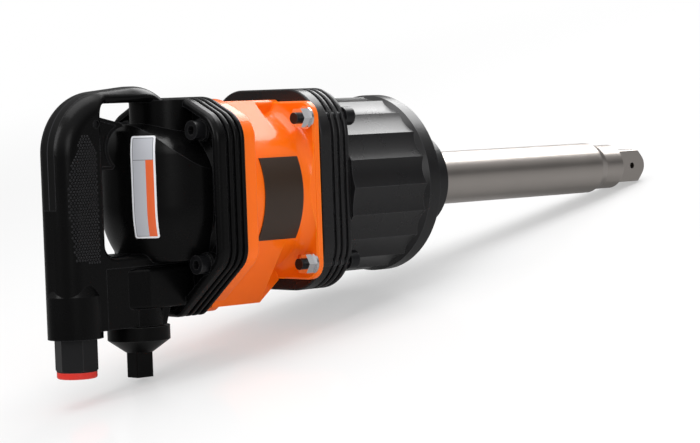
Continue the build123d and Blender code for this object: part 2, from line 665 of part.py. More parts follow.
parts["hammer_cage"] = hammer_cage()
parts["hammer_pin_upper"] = rod_x(HAMMER_PIN_RADIUS, x_cage_rear, x_cage_front, 0, HAMMER_PIN_PITCH)
parts["hammer_pin_lower"] = rod_x(HAMMER_PIN_RADIUS, x_cage_rear, x_cage_front, 0, -HAMMER_PIN_PITCH)
x_hammer = x_gap_rear + HAMMER_SIDE_GAP


def hammer_with_relief(x_from, side):
    """The far side is cut away round the other hammer's pin."""
    x_to = x_from + hammer_length
    solid = hammer(x_from, x_to, side)
    return solid - rod_x(HAMMER_PIN_RADIUS + HAMMER_RELIEF, x_from, x_to, 0, -side * HAMMER_PIN_PITCH)


parts["rear_hammer"] = hammer_with_relief(x_hammer, 1)
parts["front_hammer"] = hammer_with_relief(x_hammer + hammer_length + HAMMER_SIDE_GAP, -1)


# ---------------------------------------------------------------- anvil
def anvil():
    shaft = turned([
        (x_nose_wall - HAMMER_SIDE_GAP, 0), (x_nose_wall - HAMMER_SIDE_GAP, SHAFT_RADIUS),
        (x_case_front + SHAFT_LENGTH, SHAFT_RADIUS), (x_neck, NECK_RADIUS),
        (x_square, NECK_RADIUS), (x_square, 0)])
    square = along_x(Rectangle(SQUARE, SQUARE), x_square, x_tip)
    square &= turned([
        (x_square, 0), (x_square, NECK_RADIUS), (x_tip - TIP_CHAMFER, NECK_RADIUS),
        (x_tip, TIP_RADIUS), (x_tip, 0)])
    x_lugs = x_gap_rear + HAMMER_SIDE_GAP
    core = rod_x(LUG_CORE_RADIUS, x_lugs, x_nose_wall - HAMMER_SIDE_GAP)
    pilot = rod_x(JOURNAL_RADIUS, x_drive_end + HAMMER_SIDE_GAP, x_lugs)
    lug = rod_x(LUG_RADIUS, x_lugs, x_gap_front)
    solid = shaft + square + core + pilot
    for facing in (0, 180):
        solid += lug & wedge(LUG_ANGLE, LUG_RADIUS, x_lugs, x_gap_front, facing)
    x_collar = x_nose_wall - HAMMER_SIDE_GAP
    solid += rod_x(COLLAR_RADIUS, x_collar - COLLAR_LENGTH, x_collar)
    solid += rod_x(SHAFT_RADIUS, x_gap_front, x_collar)
    return solid - rod_y(PIN_HOLE_RADIUS, 2 * SQUARE, x_tip - PIN_HOLE_SETBACK, 0)


parts["anvil"] = anvil()

# ---------------------------------------------------------------- head casting with the D-handle
x_grip_front = x_grip + GRIP_FRONT
x_grip_rear = x_grip - GRIP_BACK
x_pivot = x_grip + TRIGGER_PIVOT_BACK
x_chamber_rear = x_grip_rear + STRIP_DEPTH + CHAMBER_WALL
x_seat = x_grip + 4.0
x_opening_front = x_head_rear - OPENING_SETBACK    # hidden inside the dome, but for its top
x_valve_front = x_valve + VALVE_BLOCK_RADIUS
z_valve_top = -BRIDGE_BOTTOM + VALVE_LENGTH
z_detent = z_valve_top - DETENT_DROP


def handle_outline():
    """Side view of the arch, grip and bridge, before the opening is cut."""
    x_front = x_head_floor + 1
    box = Polygon(
        (x_front, ARCH_TOP), (x_front, -HOUSING_SHELF), (x_valve_front, -HOUSING_SHELF),
        (x_valve_front - HEEL_SLOPE, -BRIDGE_BOTTOM), (x_grip_rear, -BRIDGE_BOTTOM),
        (x_grip_rear, ARCH_REAR_TOP), align=None)
    rear_top = box.vertices().filter_by(lambda v: v.X < x_grip and v.Y > 0)
    box = fillet(rear_top, ARCH_CORNER)
    front_top = box.vertices().filter_by(lambda v: abs(v.X - x_front) < 0.01 and v.Y > 0)
    return fillet(front_top, ARCH_FRONT_CORNER)


def opening_outline():
    hole = Polygon(
        (x_grip_front, OPENING_TOP), (x_opening_front, OPENING_TOP),
        (x_opening_front, -BRIDGE_TOP), (x_grip_front, -BRIDGE_TOP), align=None)
    hole = fillet(hole.vertices().filter_by(lambda v: v.X < x_opening_front - 1), OPENING_CORNER)
    front_top = hole.vertices().filter_by(lambda v: v.X > x_opening_front - 0.01 and v.Y > 0)
    return fillet(front_top, OPENING_FRONT_CORNER)


def handle():
    solid = from_side(handle_outline(), GRIP_HALF_WIDTH)
    outer = solid.edges().filter_by(lambda e: abs(abs(e.center().Y) - GRIP_HALF_WIDTH) < 0.01)
    outer = outer.filter_by(lambda e: e.center().Z > -BRIDGE_TOP and e.center().X < x_head_floor)
    solid = fillet(outer, ARCH_EDGE)
    solid -= from_side(opening_outline(), GRIP_HALF_WIDTH + 1)
    inner = solid.edges().filter_by(
        lambda e: x_grip_front - 1 < e.center().X < x_opening_front - 1
        and -BRIDGE_TOP - 1 < e.center().Z < OPENING_TOP + 1
        and abs(e.center().Y) > GRIP_HALF_WIDTH - 2)
    solid = fillet(inner, OPENING_EDGE)
    for side in (-1, 1):
        x_side = (x_grip_front + x_head_floor) / 2
        narrowing = Box(x_head_floor + 2 - x_grip_front, GRIP_HALF_WIDTH, BRIDGE_BOTTOM)
        y_side = side * (BRIDGE_HALF_WIDTH + GRIP_HALF_WIDTH / 2)
        solid -= Pos(x_side, y_side, -BRIDGE_SHOULDER - BRIDGE_BOTTOM / 2) * narrowing
    return solid


def valve_housing():
    """Housing of the reversing valve under the dome, with its rear corners cut back."""
    x_side = x_valve - HOUSING_FLANK
    half = [(x_head_floor + 1, HOUSING_HALF_WIDTH), (x_side, HOUSING_HALF_WIDTH),
            (x_side - HOUSING_CHEEK, BRIDGE_HALF_WIDTH)]
    outline = Polygon(*half, *[(x, -y) for x, y in reversed(half)], align=None)
    solid = extrude(Pos(0, 0, -HOUSING_SHELF) * outline, amount=HOUSING_SHELF - HOUSING_TOP)
    long_edges = solid.edges().filter_by(lambda e: abs(e.center().Y) > BRIDGE_HALF_WIDTH)
    solid = fillet(long_edges.filter_by(lambda e: e.center().X < x_head_floor), HOUSING_EDGE)
    return solid + rod_z(VALVE_BLOCK_RADIUS, -BRIDGE_BOTTOM, -HOUSING_SHELF, x_valve)


def inlet_boss():
    """Round boss over the inlet, that tapers into the grip."""
    z_full = -INLET_BOSS_TOP
    profile = make_face(Polyline(
        (0, -INLET_BOSS_BOTTOM), (INLET_BOSS_RADIUS, -INLET_BOSS_BOTTOM), (INLET_BOSS_RADIUS, z_full),
        (BRIDGE_HALF_WIDTH, z_full + INLET_BOSS_TAPER), (0, z_full + INLET_BOSS_TAPER), close=True))
    return Pos(x_grip, 0, 0) * revolve(Plane.XZ * profile, Axis.Z)


def swept_back(radius, sweep, start, height):
    """Outline of the cask from its upright part to one end: (radius, height) at middle and end."""
    points = []
    for share in (0.5, 1.0):
        run = (height - start) * share
        points.append((radius - sweep + math.sqrt(sweep ** 2 - run ** 2), start + run))
    return points


def cask(extra=0.0):
    """Upright round body whose back is swept over at the top and the bottom."""
    radius = DOME_RADIUS + extra
    top, floor = BARREL_END_RADIUS, -DOME_FLOOR
    upper_middle, upper_end = swept_back(radius, DOME_UPPER_SWEEP + extra, DOME_UPPER_START, top)
    lower_middle, lower_end = swept_back(radius, DOME_LOWER_SWEEP + extra, DOME_LOWER_START, DOME_FLOOR)
    upright_top, upright_bottom = (radius, DOME_UPPER_START), (radius, -DOME_LOWER_START)
    foot_middle, foot = (lower_middle[0], -lower_middle[1]), (lower_end[0], floor)
    border = [
        Line((0, floor), foot), ThreePointArc(foot, foot_middle, upright_bottom),
        Line(upright_bottom, upright_top), ThreePointArc(upright_top, upper_middle, upper_end),
        Line(upper_end, (0, top)), Line((0, top), (0, floor))]
    solid = revolve(Plane.XZ * make_face(border), Axis.Z)
    return Pos(x_dome, 0, 0) * fillet(solid.edges().group_by(Axis.Z)[0], DOME_LIP)


def dome():
    """Round end of the head behind the motor, with the column that carries the arch."""
    bounds = rod_x(BARREL_END_RADIUS, x_head_floor, x_dome - DOME_RADIUS)
    bounds += block(x_head_floor, x_dome - DOME_RADIUS, DOME_RADIUS, 0, -DOME_FLOOR)
    back = cask() & bounds
    column = rod_z(NECK_COLUMN_RADIUS, 0, OPENING_TOP + 1, x_dome)
    return back + (column & block(x_head_floor, x_grip, NECK_COLUMN_RADIUS, 0, OPENING_TOP + 1))


def backhead():
    solid = ribbed(head_outline(), x_head_rear, x_head_front, HEAD_EDGE)
    solid -= along_x(offset(head_outline(), -HEAD_RIM), x_head_rear, x_head_floor)
    ridge = turned([
        (x_head_floor, 0), (x_head_floor, BARREL_END_RADIUS + SEAT_RIDGE_WIDTH),
        (x_head_floor - SEAT_RIDGE_HEIGHT, BARREL_END_RADIUS), (x_head_floor - SEAT_RIDGE_HEIGHT, 0)])
    solid += ridge + dome() + handle() + valve_housing() + inlet_boss()
    for y, z in four_corners(SCREW_SPREAD_Y, SCREW_SPREAD_Z):
        solid += rod_x(SCREW_SEAT_RADIUS, x_head_floor, x_screw_seat, y, z)
        # room for the screw's head, wherever the round body comes near
        solid -= rod_x(SCREW_WASHER_RADIUS + 0.4, x_screw_seat, x_head_rear - SCREW_ROOM, y, z)
        solid -= rod_x(SCREW_RADIUS + BOLT_CLEARANCE, x_head_front, x_screw_seat, y, z)
    # rubber strip, trigger slot, throttle and air passages
    solid -= grip_strip()
    slot_half = TRIGGER_HALF_WIDTH + TRIGGER_SLOT_CLEARANCE
    solid -= block(x_grip_front - TRIGGER_TRAVEL, x_grip_front + 1, slot_half,
                   TRIGGER_BOTTOM - 3, TRIGGER_PIVOT_HEIGHT + 8)
    solid -= rod_y(TRIGGER_PIN_RADIUS, 4 * GRIP_HALF_WIDTH, x_pivot, TRIGGER_PIVOT_HEIGHT)
    solid -= rod_x(THROTTLE_CHAMBER_RADIUS, x_chamber_rear, x_seat, 0, THROTTLE_HEIGHT)
    solid -= rod_x(THROTTLE_STEM_RADIUS + RUNNING_CLEARANCE, x_seat, x_grip_front, 0, THROTTLE_HEIGHT)
    solid -= rod_z(AIR_PASSAGE_RADIUS, -INLET_BOSS_BOTTOM, THROTTLE_HEIGHT - 4, x_grip)
    solid -= rod_z(INLET_THREAD_RADIUS, -INLET_BOSS_BOTTOM, INLET_THREAD_LENGTH - INLET_BOSS_BOTTOM, x_grip)
    # reversing valve's bore and the detent's hole
    solid -= rod_z(VALVE_RADIUS + RUNNING_CLEARANCE, -BRIDGE_BOTTOM, z_valve_top + 1, x_valve)
    solid -= rod_x(DETENT_RADIUS + RUNNING_CLEARANCE, x_valve - VALVE_RADIUS - DETENT_DEPTH,
                   x_valve - VALVE_RADIUS + 1, 0, z_detent)
    # rear journal of the rotor turns in a blind pocket
    solid -= rod_x(JOURNAL_RADIUS + 2, x_head_front, x_head_front - 4)
    return solid


def grip_strip():
    """Rubber inlay that follows the back of the grip up and over its shoulder."""
    outline = handle_outline()
    band = outline - offset(outline, -STRIP_DEPTH)
    x_end = x_grip + STRIP_FORWARD
    window = Polygon(
        (x_grip_rear - 1, STRIP_BOTTOM), (x_grip_rear + STRIP_DEPTH + 0.01, STRIP_BOTTOM),
        (x_grip_rear + STRIP_DEPTH + 0.01, ARCH_REAR_TOP - ARCH_CORNER),
        (x_end, ARCH_REAR_TOP - ARCH_CORNER), (x_end, ARCH_TOP), (x_grip_rear - 1, ARCH_TOP), align=None)
    return from_side(band & window, STRIP_WIDTH / 2) & handle()


parts["backhead"] = backhead()
parts["grip_strip"] = grip_strip()


def dome_sticker():
    """Blank label that follows the dome's back."""
    shell = cask(GLUE + STICKER_THICKNESS) - cask(GLUE)
    window = Box(DOME_RADIUS, STICKER_WIDTH, STICKER_HEIGHT)
    window = fillet(window.edges().filter_by(Axis.X), STICKER_CORNER)
    return shell & (Pos(x_dome, 0, STICKER_RISE) * Rot(0, 0, STICKER_ANGLE) * Pos(DOME_RADIUS, 0, 0) * window)


parts["dome_sticker"] = dome_sticker()


# ---------------------------------------------------------------- cap screws of the head
def head_screws():
    screws, washers = [], []
    x_seat_face = x_screw_seat - WASHER_THICKNESS
    x_head = x_seat_face - SCREW_HEAD_HEIGHT
    for y, z in four_corners(SCREW_SPREAD_Y, SCREW_SPREAD_Z):
        head = rod_x(SCREW_HEAD_RADIUS, x_head, x_seat_face, y, z)
        socket = along_x(Pos(y, z) * RegularPolygon(HEX_KEY_ACROSS_FLATS / 2, 6, major_radius=False),
                         x_head, x_head + HEX_KEY_DEPTH)
        shank = rod_x(SCREW_RADIUS, x_seat_face, x_housing_rear + SCREW_DEPTH - 1, y, z)
        screws.append(head + shank - socket)
        washers.append(
            rod_x(SCREW_WASHER_RADIUS, x_seat_face, x_screw_seat, y, z)
            - rod_x(SCREW_RADIUS, x_seat_face, x_screw_seat, y, z))
    return group(screws), group(washers)


parts["head_screws"], parts["head_washers"] = head_screws()


# ---------------------------------------------------------------- air inlet
z_hex_top = -INLET_BOSS_BOTTOM
z_hex_bottom = z_hex_top - INLET_HEX_LENGTH


def inlet_bushing():
    hexagon = Pos(x_grip, 0, z_hex_bottom) * RegularPolygon(INLET_HEX / 2, 6, major_radius=False, rotation=10)
    solid = extrude(hexagon, amount=INLET_HEX_LENGTH)
    corner = INLET_HEX / math.sqrt(3)
    crown = rod_z(corner, z_hex_bottom, z_hex_top, x_grip)
    crown = chamfer(crown.edges().group_by(Axis.Z)[0], 1.4)
    solid &= crown
    solid += rod_z(INLET_THREAD_RADIUS, z_hex_top, z_hex_top + INLET_THREAD_LENGTH, x_grip)
    return solid - rod_z(INLET_BORE, z_hex_bottom, z_hex_top + INLET_THREAD_LENGTH, x_grip)


def inlet_plug():
    flange = rod_z(PLUG_RADIUS, z_hex_bottom - PLUG_FLANGE, z_hex_bottom, x_grip)
    flange = fillet(flange.edges().group_by(Axis.Z)[0], 1.5)
    spigot = rod_z(INLET_BORE - RUNNING_CLEARANCE, z_hex_bottom, z_hex_bottom + PLUG_SPIGOT_LENGTH, x_grip)
    hollow = rod_z(INLET_BORE - PLUG_WALL, z_hex_bottom, z_hex_bottom + PLUG_SPIGOT_LENGTH, x_grip)
    return flange + spigot - hollow


def inlet_strainer():
    """Thimble of mesh that stands on a flange inside the bushing."""
    z_top = z_hex_top + INLET_THREAD_LENGTH
    rim = rod_z(INLET_THREAD_RADIUS, z_top, z_top + 1.5, x_grip)
    cup = rod_z(AIR_PASSAGE_RADIUS - 1.5, z_top, z_top + STRAINER_LENGTH, x_grip)
    hollow = rod_z(AIR_PASSAGE_RADIUS - 2.5, z_top, z_top + STRAINER_LENGTH - 1, x_grip)
    return rim + cup - hollow


parts["inlet_bushing"] = inlet_bushing()
parts["inlet_plug"] = inlet_plug()
parts["inlet_strainer"] = inlet_strainer()
parts["backhead"] -= rod_z(
    INLET_THREAD_RADIUS, z_hex_top, z_hex_top + INLET_THREAD_LENGTH + 1.5, x_grip)

# ---------------------------------------------------------------- trigger and throttle valve
def trigger():
    """Lever with a hollow face between a toe and a lip; its sides are relieved."""
    top = TRIGGER_PIVOT_HEIGHT
    x_toe = x_grip_front + TRIGGER_REACH
    x_waist = x_grip_front + TRIGGER_WAIST
    x_lip = x_grip_front + TRIGGER_LIP
    x_brow = x_grip_front + TRIGGER_RIM
    z_brow = top + TRIGGER_BROW
    points = [
        (x_grip_front, z_brow), (x_grip_front, TRIGGER_BOTTOM), (x_toe - TRIGGER_TOE, TRIGGER_BOTTOM),
        (x_toe, TRIGGER_BOTTOM + TRIGGER_TOE)]
    lip = (x_lip, top - TRIGGER_TOE)
    back = [lip, (x_lip - TRIGGER_TOE, top), (x_brow, z_brow), (x_grip_front, z_brow)]
    border = [Line(*pair) for pair in zip(points, points[1:])]
    border.append(ThreePointArc(points[-1], (x_waist, TRIGGER_BOTTOM + TRIGGER_WAIST_RISE), lip))
    border += [Line(*pair) for pair in zip(back, back[1:])]
    outline = make_face(border)
    solid = from_side(outline, TRIGGER_HALF_WIDTH)
    relief = offset(outline, -TRIGGER_RIM)
    solid -= from_side(relief, TRIGGER_HALF_WIDTH) - from_side(relief, TRIGGER_HALF_WIDTH - TRIGGER_RELIEF)
    knuckle = rod_y(TRIGGER_KNUCKLE, 2 * TRIGGER_HALF_WIDTH, x_pivot, top)
    link = block(x_pivot, x_brow, TRIGGER_HALF_WIDTH, top - TRIGGER_LINK, top + TRIGGER_LINK)
    solid += knuckle + link
    return solid - rod_y(TRIGGER_PIN_RADIUS + RUNNING_CLEARANCE, 4 * TRIGGER_HALF_WIDTH, x_pivot, top)


parts["trigger"] = trigger()
parts["trigger_pin"] = rod_y(TRIGGER_PIN_RADIUS, 2 * GRIP_HALF_WIDTH - 3, x_pivot, TRIGGER_PIVOT_HEIGHT)

x_poppet = x_seat - THROTTLE_SEAT_WIDTH
parts["throttle_valve"] = (
    rod_x(THROTTLE_STEM_RADIUS, x_poppet - CONTACT_GAP, x_grip_front - STEM_GAP, 0, THROTTLE_HEIGHT)
    + rod_x(THROTTLE_HEAD_RADIUS, x_poppet - CONTACT_GAP - THROTTLE_HEAD_LENGTH, x_poppet - CONTACT_GAP,
            0, THROTTLE_HEIGHT))
parts["throttle_seat"] = (
    rod_x(THROTTLE_CHAMBER_RADIUS, x_poppet, x_seat, 0, THROTTLE_HEIGHT)
    - rod_x(THROTTLE_STEM_RADIUS + RUNNING_CLEARANCE, x_poppet, x_seat, 0, THROTTLE_HEIGHT))
x_throttle_plug = x_chamber_rear + THROTTLE_PLUG_WIDTH
parts["throttle_plug"] = rod_x(THROTTLE_CHAMBER_RADIUS, x_chamber_rear, x_throttle_plug, 0, THROTTLE_HEIGHT)
spring_length = x_poppet - CONTACT_GAP - THROTTLE_HEAD_LENGTH - x_throttle_plug - 2 * WIRE_RADIUS - 0.4
parts["throttle_spring"] = (
    Pos(x_throttle_plug + WIRE_RADIUS + 0.2, 0, THROTTLE_HEIGHT) * Rot(0, 90, 0)
    * coil(THROTTLE_HEAD_RADIUS - 1.5, spring_length, 4))


# ---------------------------------------------------------------- reversing valve and its knob
x_ball = x_valve - VALVE_RADIUS - DETENT_RADIUS + DETENT_BITE


def reverse_valve():
    solid = rod_z(VALVE_RADIUS, -BRIDGE_BOTTOM, z_valve_top, x_valve)
    solid -= rod_y(VALVE_PORT_RADIUS, 3 * VALVE_RADIUS, x_valve, (z_valve_top - BRIDGE_BOTTOM) / 2)
    # the detent's ball rides in a shallow groove
    section = Pos(x_ball - x_valve, z_detent) * Circle(DETENT_RADIUS + CONTACT_GAP)
    return solid - Pos(x_valve, 0, 0) * revolve(Plane.XZ * section, Axis.Z)


def reverse_knob():
    z_top = -BRIDGE_BOTTOM - CONTACT_GAP
    z_rim = z_top - KNOB_RIM
    z_hub = z_rim - KNOB_CONE
    profile = make_face(Polyline(
        (0, z_top), (KNOB_RADIUS, z_top), (KNOB_RADIUS, z_rim), (KNOB_HUB_RADIUS, z_hub), (0, z_hub),
        close=True))
    solid = Pos(x_valve, 0, 0) * revolve(Plane.XZ * profile, Axis.Z)
    tab = Pos(x_valve, 0, -TAB_BOTTOM) * RectangleRounded(TAB_WIDTH, TAB_THICKNESS, TAB_CORNER)
    solid += extrude(tab, amount=TAB_BOTTOM + z_hub + 2)
    solid += rod_z(VALVE_RADIUS - 4, z_top, -BRIDGE_BOTTOM, x_valve)
    return solid


parts["reverse_valve"] = reverse_valve()
parts["reverse_knob"] = reverse_knob()
parts["detent_ball"] = Pos(x_ball, 0, z_detent) * Sphere(DETENT_RADIUS)
detent_length = DETENT_DEPTH - 2 * DETENT_RADIUS + DETENT_BITE - 2 * WIRE_RADIUS - 0.6
parts["detent_spring"] = (
    Pos(x_valve - VALVE_RADIUS - DETENT_DEPTH + WIRE_RADIUS + 0.2, 0, z_detent) * Rot(0, 90, 0)
    * coil(DETENT_RADIUS - 1.1, detent_length, 4))

# ---------------------------------------------------------------- laid down as it rests, and written
x_front_foot = x_tip - TIP_CHAMFER
x_rear_foot = x_valve + TAB_WIDTH / 2
tilt = math.degrees(math.atan2(TAB_BOTTOM - SQUARE / 2, x_front_foot - x_rear_foot))
laid = {name: Rot(0, tilt, 0) * shape for name, shape in parts.items()}
boxes = [shape.bounding_box() for shape in laid.values()]
low = Vector(*(min(getattr(box.min, side) for box in boxes) for side in "XYZ"))
high = Vector(*(max(getattr(box.max, side) for box in boxes) for side in "XYZ"))
shift = Pos(-(low.X + high.X) / 2, -(low.Y + high.Y) / 2, -low.Z)

os.makedirs("parts", exist_ok=True)
for name, shape in laid.items():
    export_step(shift * shape, "parts/%s.step" % name)
print("tilt %.3f degrees, shift %s, size %s" % (tilt, shift.position, high - low))
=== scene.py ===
import json
import math

import bpy
from mathutils import Matrix, Vector


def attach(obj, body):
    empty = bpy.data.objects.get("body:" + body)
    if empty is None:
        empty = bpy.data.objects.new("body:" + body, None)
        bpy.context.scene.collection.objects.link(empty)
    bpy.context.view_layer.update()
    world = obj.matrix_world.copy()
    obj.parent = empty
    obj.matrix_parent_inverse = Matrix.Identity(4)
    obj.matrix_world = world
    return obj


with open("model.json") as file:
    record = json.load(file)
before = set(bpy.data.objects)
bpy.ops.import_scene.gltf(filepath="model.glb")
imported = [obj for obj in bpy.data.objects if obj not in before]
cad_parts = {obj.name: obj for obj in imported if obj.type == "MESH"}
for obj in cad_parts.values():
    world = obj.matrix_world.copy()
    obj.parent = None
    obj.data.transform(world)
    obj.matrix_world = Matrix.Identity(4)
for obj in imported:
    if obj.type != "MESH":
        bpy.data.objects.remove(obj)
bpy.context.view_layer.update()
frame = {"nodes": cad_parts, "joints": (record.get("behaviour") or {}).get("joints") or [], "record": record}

nodes = frame["nodes"]
scene = bpy.context.scene
scene.view_settings.view_transform = "Standard"

# ---------------------------------------------------------------- studio
# The camera stands behind the tool's right side. Its place is given in the tool's own axes: x along
# the spindle, z up the handle, counted from the front face of the hammer case's ring.
joint = {entry["name"]: entry for entry in frame["joints"]}
mount = {entry["name"]: entry for entry in frame["record"]["mounts"]}
RING_TO_TIP = 0.290
spindle = Vector(joint["anvil_spin"]["axis"]).normalized()
left = Vector((0, 1, 0))
crown = spindle.cross(left)
tool = Matrix((spindle, left, crown)).transposed().to_4x4()
tool.translation = Vector(mount["square_drive"]["pos_m"]) - spindle * RING_TO_TIP

VIEW_AZIMUTH = math.radians(-43.5)
VIEW_ELEVATION = math.radians(2.85)
VIEW_ROLL = math.radians(-2.02)
VIEW_DISTANCE = 1.930
VIEW_ASIDE = (0.0221, 0.0293)
VIEW_LENS = 133.7

outward = Vector((
    math.sin(VIEW_AZIMUTH) * math.cos(VIEW_ELEVATION),
    -math.cos(VIEW_AZIMUTH) * math.cos(VIEW_ELEVATION),
    math.sin(VIEW_ELEVATION)))
right = Vector((0, 0, 1)).cross(outward).normalized()
up = outward.cross(right)
view_right = right * math.cos(VIEW_ROLL) + up * math.sin(VIEW_ROLL)
view_up = up * math.cos(VIEW_ROLL) - right * math.sin(VIEW_ROLL)
eye = outward * VIEW_DISTANCE - view_right * VIEW_ASIDE[0] - view_up * VIEW_ASIDE[1]
camera_data = bpy.data.cameras.new("camera")
camera_data.lens = VIEW_LENS
camera_data.sensor_width = 36.0
camera_data.clip_end = 50.0
camera = bpy.data.objects.new("camera", camera_data)
scene.collection.objects.link(camera)
pose = Matrix((view_right, view_up, outward)).transposed().to_4x4()
pose.translation = eye
camera.matrix_world = tool @ pose
scene.camera = camera


def plain_material(name):
    """A node material with only its Principled shader and output; returns both ends and the tree."""
    material = bpy.data.materials.new(name)
    material.use_nodes = True
    tree = material.node_tree
    return material, tree, tree.nodes["Principled BSDF"], tree.nodes["Material Output"]


def set_range(node, *limits):
    """Set a Map Range node's limits: from, from, to, to."""
    for socket, limit in zip(("From Min", "From Max", "To Min", "To Max"), limits):
        node.inputs[socket].default_value = limit


def any_ray(tree, *kinds):
    """1 for rays of these kinds, 0 for the others."""
    rays = tree.nodes.new("ShaderNodeLightPath")
    found = rays.outputs[kinds[0]]
    for kind in kinds[1:]:
        either = tree.nodes.new("ShaderNodeMath")
        either.operation = "MAXIMUM"
        tree.links.new(found, either.inputs[0])
        tree.links.new(rays.outputs[kind], either.inputs[1])
        found = either.outputs[0]
    return found


# The floor is a sheet of white acrylic, which mirrors the tool a little. Part of its white is a glow
# that only the camera sees, weaker round the tool so that its shadow stays. Reflections see the
# floor as the dim grey that a darkened room leaves it.
FLOOR_HALF = 6.0
FLOOR_WHITE = 0.98
FLOOR_ROUGHNESS = 0.13
GLOW_RINGS = (0.35, 1.5)        # the glow grows between these distances from the middle
GLOW_NEAR, GLOW_FAR = 0.42, 1.0
MIRRORED_LEVEL = 0.20
MIRRORED_SHARE = 0.80
floor_mesh = bpy.data.meshes.new("studio_floor")
floor_mesh.from_pydata(
    [(-FLOOR_HALF, -FLOOR_HALF, 0), (FLOOR_HALF, -FLOOR_HALF, 0),
     (FLOOR_HALF, FLOOR_HALF, 0), (-FLOOR_HALF, FLOOR_HALF, 0)], [], [(0, 1, 2, 3)])
floor = bpy.data.objects.new("studio_floor", floor_mesh)
scene.collection.objects.link(floor)
floor_material, tree, shader, output = plain_material("white_acrylic")
shader.inputs["Base Color"].default_value = (FLOOR_WHITE, FLOOR_WHITE, FLOOR_WHITE, 1)
shader.inputs["Roughness"].default_value = FLOOR_ROUGHNESS
place = tree.nodes.new("ShaderNodeTexCoord")
distance = tree.nodes.new("ShaderNodeVectorMath")
distance.operation = "LENGTH"
tree.links.new(place.outputs["Object"], distance.inputs[0])
near_far = tree.nodes.new("ShaderNodeMapRange")
near_far.interpolation_type = "SMOOTHSTEP"
set_range(near_far, *GLOW_RINGS, GLOW_NEAR, GLOW_FAR)
tree.links.new(distance.outputs["Value"], near_far.inputs["Value"])
surface = shader.outputs[0]
glows = (
    ("Is Camera Ray", 1.0, near_far.outputs["Result"]),
    ("Is Glossy Ray", MIRRORED_LEVEL, MIRRORED_SHARE))
for ray, level, amount in glows:
    glow = tree.nodes.new("ShaderNodeEmission")
    glow.inputs["Color"].default_value = (level, level, level, 1)
    share = tree.nodes.new("ShaderNodeMath")
    share.operation = "MULTIPLY"
    tree.links.new(any_ray(tree, ray), share.inputs[0])
    if isinstance(amount, float):
        share.inputs[1].default_value = amount
    else:
        tree.links.new(amount, share.inputs[1])
    blend = tree.nodes.new("ShaderNodeMixShader")
    tree.links.new(share.outputs[0], blend.inputs[0])
    tree.links.new(surface, blend.inputs[1])
    tree.links.new(glow.outputs[0], blend.inputs[2])
    surface = blend.outputs[0]
tree.links.new(surface, output.inputs["Surface"])
floor_mesh.materials.append(floor_material)

# The surround is plain white to the camera. Reflections see a room that is dim at table height
# and light overhead, and everything else gets an even, weaker light.
FILL_LEVEL = 0.62
ROOM_HEIGHTS = (0.05, 0.75)     # of the direction: 0 is level, 1 is straight up
ROOM_DIM, ROOM_LIGHT = 0.10, 0.70
world = bpy.data.worlds.new("surround")
scene.world = world
world.use_nodes = True
tree = world.node_tree
sky = tree.nodes["Background"]
level = tree.nodes.new("ShaderNodeMapRange")
set_range(level, 0.0, 1.0, FILL_LEVEL, 1.0)
seen = any_ray(tree, "Is Camera Ray", "Is Glossy Ray", "Is Transmission Ray")
tree.links.new(seen, level.inputs["Value"])
tree.links.new(level.outputs["Result"], sky.inputs["Strength"])
direction = tree.nodes.new("ShaderNodeTexCoord")
parts = tree.nodes.new("ShaderNodeSeparateXYZ")
tree.links.new(direction.outputs["Generated"], parts.inputs["Vector"])
height = tree.nodes.new("ShaderNodeMapRange")
height.interpolation_type = "SMOOTHSTEP"
set_range(height, *ROOM_HEIGHTS, ROOM_DIM, ROOM_LIGHT)
tree.links.new(parts.outputs["Z"], height.inputs["Value"])
tone = tree.nodes.new("ShaderNodeMix")
tone.data_type = "FLOAT"
tone.inputs["B"].default_value = 1.0
not_glossy = tree.nodes.new("ShaderNodeMath")
not_glossy.operation = "SUBTRACT"
not_glossy.inputs[0].default_value = 1.0
tree.links.new(any_ray(tree, "Is Glossy Ray"), not_glossy.inputs[1])
tree.links.new(not_glossy.outputs[0], tone.inputs["Factor"])
tree.links.new(height.outputs["Result"], tone.inputs["A"])
tree.links.new(tone.outputs["Result"], sky.inputs["Color"])


def soft_lamp(name, place, size, power):
    """Rectangular soft box that faces the tool's middle."""
    data = bpy.data.lights.new(name, "AREA")
    data.shape = "RECTANGLE"
    data.size, data.size_y = size
    data.energy = power
    lamp = bpy.data.objects.new(name, data)
    lamp.location = place
    lamp.rotation_euler = (MIDDLE - Vector(place)).to_track_quat("-Z", "Y").to_euler()
    scene.collection.objects.link(lamp)


# The window draws the bright bands on the shank, the case and the housing's shoulder. The overhead box
# lights the floor, the rear strip rims the handle, and the last one lifts the side that is seen.
MIDDLE = Vector((0.0, 0.0, 0.09))
soft_lamp("window", (1.30, 0.30, 0.95), (1.2, 0.8), 17)
soft_lamp("overhead", (0.0, 0.0, 1.35), (1.2, 0.9), 9)
soft_lamp("rear_strip", (-1.30, 0.35, 1.00), (0.35, 0.9), 5)
soft_lamp("camera_side", (-0.9, -1.3, 0.7), (0.6, 0.6), 3)


# ---------------------------------------------------------------- finishes
# Every finish is drawn from two effects. The skin is the grain that casting, coating or grinding
# leaves; the lighter edges are partly where handling rubs a coat thin and partly a painted highlight along
# crests and rims.
def new_group(name, tree_kind, inputs, outputs):
    """Empty node group with these sockets; returns it with its two ends."""
    group = bpy.data.node_groups.new(name, tree_kind)
    for in_out, sockets in (("INPUT", inputs), ("OUTPUT", outputs)):
        for label, kind in sockets:
            group.interface.new_socket(label, in_out=in_out, socket_type="NodeSocket" + kind)
    return group, group.nodes.new("NodeGroupInput"), group.nodes.new("NodeGroupOutput")


